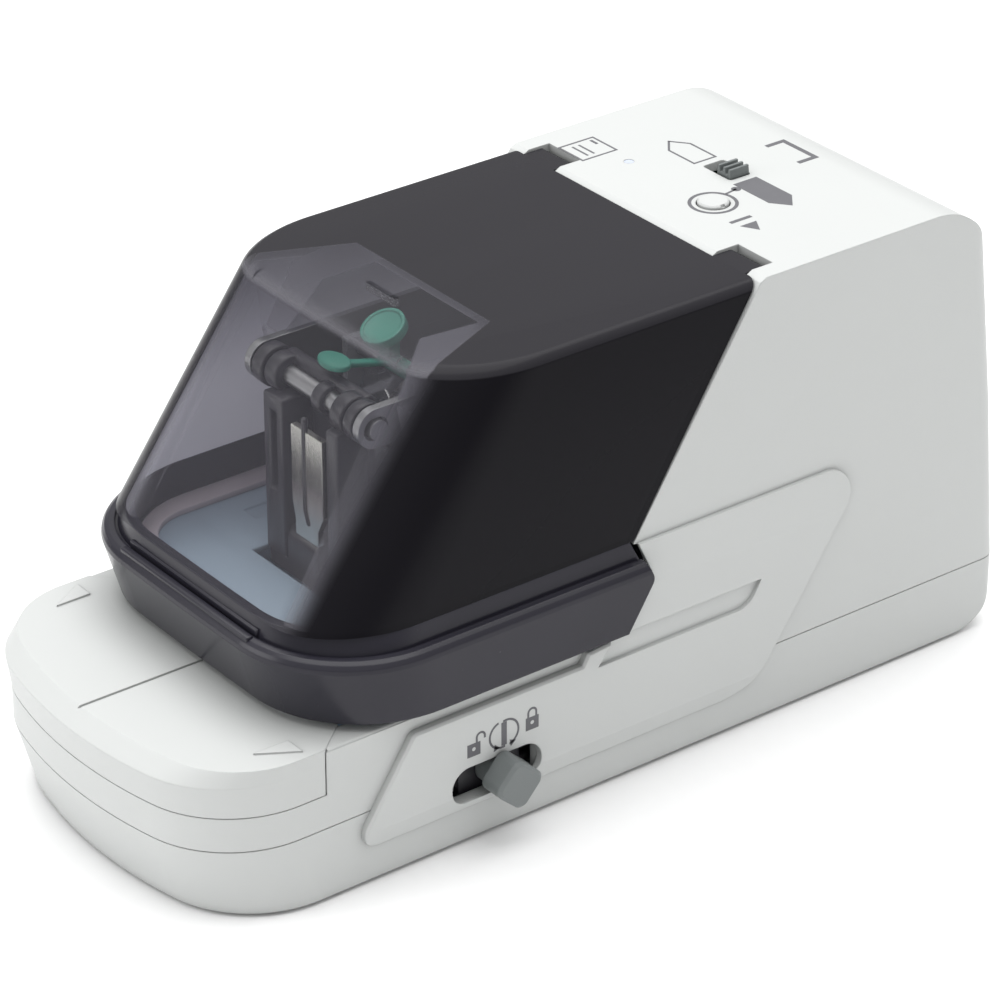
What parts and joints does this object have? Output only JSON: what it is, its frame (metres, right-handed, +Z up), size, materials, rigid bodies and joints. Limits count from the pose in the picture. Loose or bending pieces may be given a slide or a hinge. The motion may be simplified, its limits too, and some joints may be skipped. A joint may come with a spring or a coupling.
{
  "type": "electric stapler",
  "caption": "Desk-top electric stapler with a hinged smoked cover, a start button, a mode slider, a lockable paper guide and a motor-driven cam and staple head.",
  "frame": {"origin": "under the middle of the flat underside, on the plane the feet rest on", "axes": "+Z up, +Y towards the rear, +X towards the side with the lock knob"},
  "size_m": [0.1023, 0.221, 0.1099],
  "materials": {
    "shell_plastic": "fine spark texture, satin",
    "steel": "brushed",
    "bright_steel": "bright brushed",
    "rubber": "matt",
    "blue_plastic": "satin",
    "smoked_plastic": "smoked, gloss",
    "dark_plastic": "satin gloss",
    "grey_plastic": "satin",
    "clear_plastic": "gloss",
    "board": "solder mask",
    "black_plastic": "satin",
    "brass": "satin",
    "motor_can": "zinc plated",
    "gear_plastic": "natural acetal",
    "cartridge_plastic": "translucent",
    "green_plastic": "satin"
  },
  "bodies": {
    "base": {"bottom_shell": "shell_plastic", "base_screws": "steel", "rubber_feet": "rubber", "middle_shell": "shell_plastic", "nose_table": "shell_plastic", "table_plate": "blue_plastic", "rear_housing": "shell_plastic", "cover_hinge_pins": "steel", "side_panel_right": "shell_plastic", "side_panel_left": "shell_plastic", "led_light_pipe": "clear_plastic", "control_board": "board", "start_switch": "black_plastic", "mode_switch": "black_plastic", "status_led": "clear_plastic", "power_inlet": "black_plastic", "carriage_rail": "steel", "rail_holders": "black_plastic", "sensor_pin": "steel", "clincher": "black_plastic", "anvil_plate": "steel", "chassis_plate_left": "steel", "chassis_plate_right": "steel", "chassis_spacers": "steel", "pivot_shaft": "steel", "gear_axles": "steel", "shaft_bushes": "brass", "head_guides": "black_plastic", "cartridge_bed": "steel", "motor": "motor_can", "motor_bracket": "steel", "start_spring": "steel"},
    "cover": {"cover_hood": "smoked_plastic", "cover_frame": "dark_plastic"},
    "start_button": {"start_button": "shell_plastic"},
    "mode_knob": {"mode_knob": "grey_plastic"},
    "paper_guide": {"depth_carriage": "black_plastic", "paper_stop": "black_plastic"},
    "lock_knob": {"lock_knob": "grey_plastic"},
    "sensor_lever": {"sensor_lever": "black_plastic"},
    "cam_drive": {"cam_gear": "gear_plastic", "cam_shaft": "steel", "drive_cam_left": "steel", "drive_cam_right": "steel"},
    "idler_two": {"idler_gear_two": "gear_plastic"},
    "idler_one": {"idler_gear_one": "gear_plastic"},
    "motor_rotor": {"motor_pinion": "brass", "motor_shaft": "steel"},
    "drive_arms": {"drive_arm_left": "steel", "drive_arm_right": "steel", "arm_rollers": "steel", "arm_crossbar": "steel"},
    "staple_head": {"head_shaft": "steel", "head_rollers": "black_plastic", "head_block": "black_plastic", "driver_plate": "bright_steel"},
    "cartridge": {"cartridge_case": "cartridge_plastic", "staple_roll": "bright_steel", "lever_pin": "steel"},
    "release_lever": {"release_lever": "green_plastic"}
  },
  "joints": [
    {"name": "cover_hinge", "type": "hinge", "parent": "base", "child": "cover", "pos_m": [0, 0.0414, 0.1051], "axis": [-1, 0, 0], "range_deg": [0, 75]},
    {"name": "start_press", "type": "slide", "parent": "base", "child": "start_button", "axis": [0, 0, -1], "range_m": [0, 0.0012], "stiffness_N_per_m": 400, "deforming": ["start_spring"]},
    {"name": "mode_slide", "type": "slide", "parent": "base", "child": "mode_knob", "axis": [-1, 0, 0], "range_m": [0, 0.0042]},
    {"name": "guide_slide", "type": "slide", "parent": "base", "child": "paper_guide", "axis": [0, 1, 0], "range_m": [-0.0085, 0.006]},
    {"name": "lock_turn", "type": "hinge", "parent": "paper_guide", "child": "lock_knob", "pos_m": [0.037, -0.033, 0.0154], "axis": [1, 0, 0], "range_deg": [0, 90]},
    {"name": "sensor_swing", "type": "hinge", "parent": "base", "child": "sensor_lever", "pos_m": [-0.0295, -0.014, 0.028], "axis": [1, 0, 0], "range_deg": [0, 10], "stiffness_Nm_per_rad": 0.02, "springref_deg": -17.19},
    {"name": "cam_turn", "type": "hinge", "parent": "base", "child": "cam_drive", "pos_m": [0, 0.078, 0.06], "axis": [1, 0, 0], "range_deg": [0, 150]},
    {"name": "idler_two_turn", "type": "hinge", "parent": "base", "child": "idler_two", "pos_m": [0.005, 0.0526, 0.0482], "axis": [1, 0, 0], "range_deg": [-600.5, 0.5]},
    {"name": "idler_one_turn", "type": "hinge", "parent": "base", "child": "idler_one", "pos_m": [0, 0.0308, 0.0403], "axis": [1, 0, 0], "range_deg": [-1, 1887]},
    {"name": "motor_turn", "type": "hinge", "parent": "base", "child": "motor_rotor", "pos_m": [-0.001, 0.0387, 0.01846], "axis": [1, 0, 0], "range_deg": [-5930, 1]},
    {"name": "arm_swing", "type": "hinge", "parent": "base", "child": "drive_arms", "pos_m": [0, 0.04, 0.09], "axis": [1, 0, 0], "range_deg": [0, 5.37]},
    {"name": "head_slide", "type": "slide", "parent": "base", "child": "staple_head", "axis": [0, 0, -1], "range_m": [0, 0.00801]},
    {"name": "cartridge_lift", "type": "slide", "parent": "base", "child": "cartridge", "axis": [0, 0, 1], "range_m": [0, 0.002]},
    {"name": "release_swing", "type": "hinge", "parent": "cartridge", "child": "release_lever", "pos_m": [0, -0.024, 0.088], "axis": [-1, 0, 0], "range_deg": [0, 10]}
  ],
  "couplings": [
    {"joint": "idler_two_turn", "follows": "cam_turn", "ratio": -4},
    {"joint": "idler_one_turn", "follows": "cam_turn", "ratio": 12.571},
    {"joint": "motor_turn", "follows": "cam_turn", "ratio": -39.51},
    {"joint": "arm_swing", "follows": "cam_turn", "ratio": 0.03574},
    {"joint": "head_slide", "follows": "cam_turn", "m_per_rad": 0.0030558}
  ]
}
